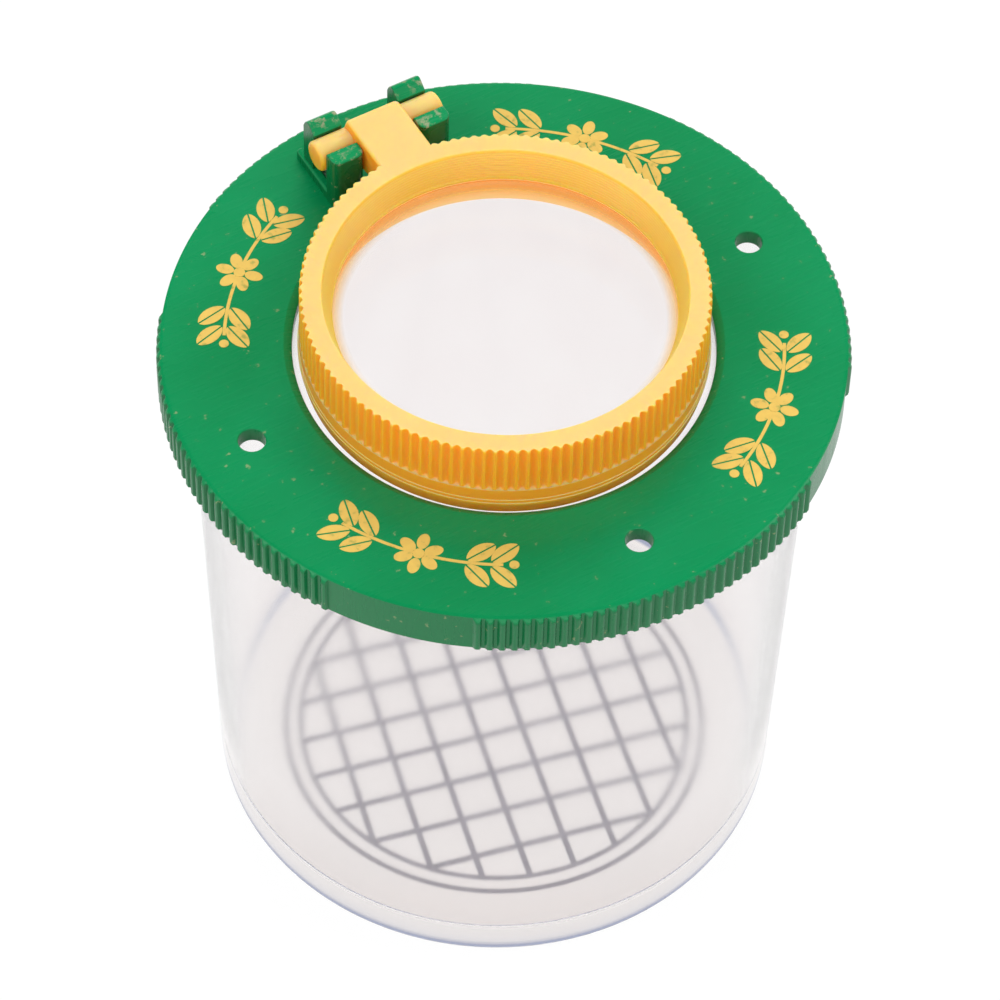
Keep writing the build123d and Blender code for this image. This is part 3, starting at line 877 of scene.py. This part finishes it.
def makeNubs():
    # bumps that hold the lens up against its ledge
    s = ringShape
    low = ringTop - s["lensEdgeDepth"] - s["ledge"] - s["nubBelowLedge"]
    bm = bmesh.new()
    for i in range(s["nubs"]):
        angle = radians(s["nubTurn"] + 360 / s["nubs"] * i)
        place = Matrix.Translation(Vector((s["seat"] * cos(angle), s["seat"] * sin(angle), low)) * mm)
        bmesh.ops.create_uvsphere(bm, u_segments=20, v_segments=12, radius=s["nubRadius"] * mm, matrix=place)
    return bm


def makeArm():
    # a hair proud of the ring's lip
    a = armShape
    inner = ringShape["radius"] - a["inset"]
    top = ringTop + a["proud"]
    end = hingeY + a["overhang"]
    under = arc(hingeY, hingeZ, a["barRadius"], 0, -90, 8)
    outline = [(inner, top), (end, top)] + under + [(inner, ringTop - a["depth"])]
    arm = pull(outline, -a["halfWidth"], a["halfWidth"], "X")
    roundEdges(arm, lambda p, q: abs(p.x - q.x) > 1 and min(p.z, q.z) > top - a["near"]
               and p.y > end - a["near"], a["endRound"], 5)
    roundEdges(arm, lambda p, q: abs(p.x - q.x) < a["near"] and max(p.y, q.y) > inner + a["near"]
               and min(p.z, q.z) > hingeZ - a["near"], a["sideRound"], 4)
    return arm


def makeBar():
    # turned upright, then laid along X through the end of the arm
    a = armShape
    half = a["barHalf"]
    r = a["barRound"]
    profile = ([(0, -half)] + arc(a["barRadius"] - r, r - half, r, -90, 0, 5)
               + arc(a["barRadius"] - r, half - r, r, 0, 90, 5) + [(0, half)])
    bar = bmesh.new()
    turn(bar, profile, a["barSteps"])
    close(bar)
    hinge = Matrix.Translation(Vector((clip["shift"], hingeY, hingeZ)) * mm)
    bmesh.ops.transform(bar, matrix=hinge @ Matrix.Rotation(radians(90), 4, "Y"), verts=bar.verts)
    return bar


ringSkin = unite([makeRing(), makeArm(), makeBar(), makeNubs()])
finishPiece("yellow_ring", ringSkin, "magnifier", yellow, "magnifier_frame")


# Floor, light and camera: metres for the floor's size and the lamps, mm for the floor's drop and the camera
studio = {"floor": 3.0, "floorDrop": 0.05, "floorWhite": 0.9, "paper": "#cccccc", "white": "#ffffff",
          "glow": 1.06, "sky": 0.34, "lampAim": (0, 0, 0.05),
          "mirrored": {"From Min": 0.1, "From Max": 0.5, "To Min": 0.6, "To Max": 0.06}}
lamps = {
    "back_softbox": {"place": (0.55, 0.95, 0.85), "size": 0.9, "watts": 13.0, "mirrored": False},
    "left_softbox": {"place": (-0.9, 0.15, 0.8), "size": 0.8, "watts": 5.0, "mirrored": True},
    "right_softbox": {"place": (0.85, -0.4, 0.8), "size": 0.8, "watts": 4.6, "mirrored": True},
    "front_fill": {"place": (-0.45, -0.95, 0.8), "size": 1.3, "watts": 8.5, "mirrored": True},
}
shot = {"place": (-163.0, -267.05, 454.67), "aim": (0.0, 0.0, 41.18), "roll": 1.57,
        "lens": 176.5, "sensor": 36.0}


def seenBy(tree, rays):
    # 1 for the named kinds of ray and 0 for the rest
    path = addNode(tree, "ShaderNodeLightPath")
    total = path.outputs[rays[0]]
    for ray in rays[1:]:
        total = addNode(tree, "ShaderNodeMath", {"operation": "MAXIMUM"}, {0: total, 1: path.outputs[ray]})
    return total


def makeFloor():
    bm = bmesh.new()
    bmesh.ops.create_grid(bm, x_segments=2, y_segments=2, size=studio["floor"])
    bmesh.ops.translate(bm, vec=(0, 0, -studio["floorDrop"] * mm), verts=bm.verts)
    mesh = bpy.data.meshes.new("floor")
    bm.to_mesh(mesh)
    bm.free()
    material, tree = startMaterial("white_paper_sweep")
    paper = addNode(tree, "ShaderNodeBsdfDiffuse", {"Color": linear(studio["paper"])})
    glow = addNode(tree, "ShaderNodeEmission", {"Color": linear(studio["white"]), "Strength": studio["glow"]})
    seen = seenBy(tree, ("Is Camera Ray", "Is Glossy Ray", "Is Transmission Ray"))
    share = addNode(tree, "ShaderNodeMath", {"operation": "MULTIPLY", 1: studio["floorWhite"]}, {0: seen})
    mix = addNode(tree, "ShaderNodeMixShader", links={0: share, 1: paper, 2: glow})
    addNode(tree, "ShaderNodeOutputMaterial", links={"Surface": mix})
    mesh.materials.append(material)
    floor = bpy.data.objects.new("floor", mesh)
    bpy.context.scene.collection.objects.link(floor)


def makeWorld():
    world = bpy.data.worlds.new("studio")
    bpy.context.scene.world = world
    world.use_nodes = True
    tree = world.node_tree
    tree.nodes.clear()
    # what glossy plastic mirrors: bright near the horizon, dim overhead
    way = addNode(tree, "ShaderNodeTexCoord").outputs["Generated"]
    height = addNode(tree, "ShaderNodeSeparateXYZ", links={"Vector": way}).outputs["Z"]
    mirrored = addNode(tree, "ShaderNodeMapRange", studio["mirrored"], {"Value": height})
    glossy = seenBy(tree, ("Is Glossy Ray",))
    strength = addNode(tree, "ShaderNodeMix", {2: studio["sky"]}, {0: glossy, 3: mirrored})
    seen = seenBy(tree, ("Is Camera Ray", "Is Transmission Ray"))
    shown = addNode(tree, "ShaderNodeMix", {3: 1.0}, {0: seen, 2: strength})
    sky = addNode(tree, "ShaderNodeBackground", {"Color": linear(studio["white"])}, {"Strength": shown})
    addNode(tree, "ShaderNodeOutputWorld", links={"Surface": sky})


def makeLamps():
    aim = Vector(studio["lampAim"])
    for name, s in lamps.items():
        data = bpy.data.lights.new(name, "AREA")
        data.energy = s["watts"]
        data.size = s["size"]
        lamp = bpy.data.objects.new(name, data)
        lamp.location = s["place"]
        lamp.rotation_euler = (aim - lamp.location).to_track_quat("-Z", "Y").to_euler()
        lamp.visible_transmission = False  # no lamp shows through the clear plastic
        lamp.visible_glossy = s["mirrored"]
        bpy.context.scene.collection.objects.link(lamp)


def makeCamera():
    data = bpy.data.cameras.new("photo_view")
    data.sensor_width = shot["sensor"]
    data.lens = shot["lens"]
    camera = bpy.data.objects.new("photo_view", data)
    place = Vector(shot["place"]) * mm
    look = (Vector(shot["aim"]) * mm - place).to_track_quat("-Z", "Y")
    roll = Matrix.Rotation(radians(shot["roll"]), 4, "Z")
    camera.matrix_world = Matrix.Translation(place) @ look.to_matrix().to_4x4() @ roll
    bpy.context.scene.collection.objects.link(camera)
    bpy.context.scene.camera = camera


makeFloor()
makeWorld()
makeLamps()
makeCamera()
bpy.context.scene.view_settings.view_transform = "Standard"
print("stage set")
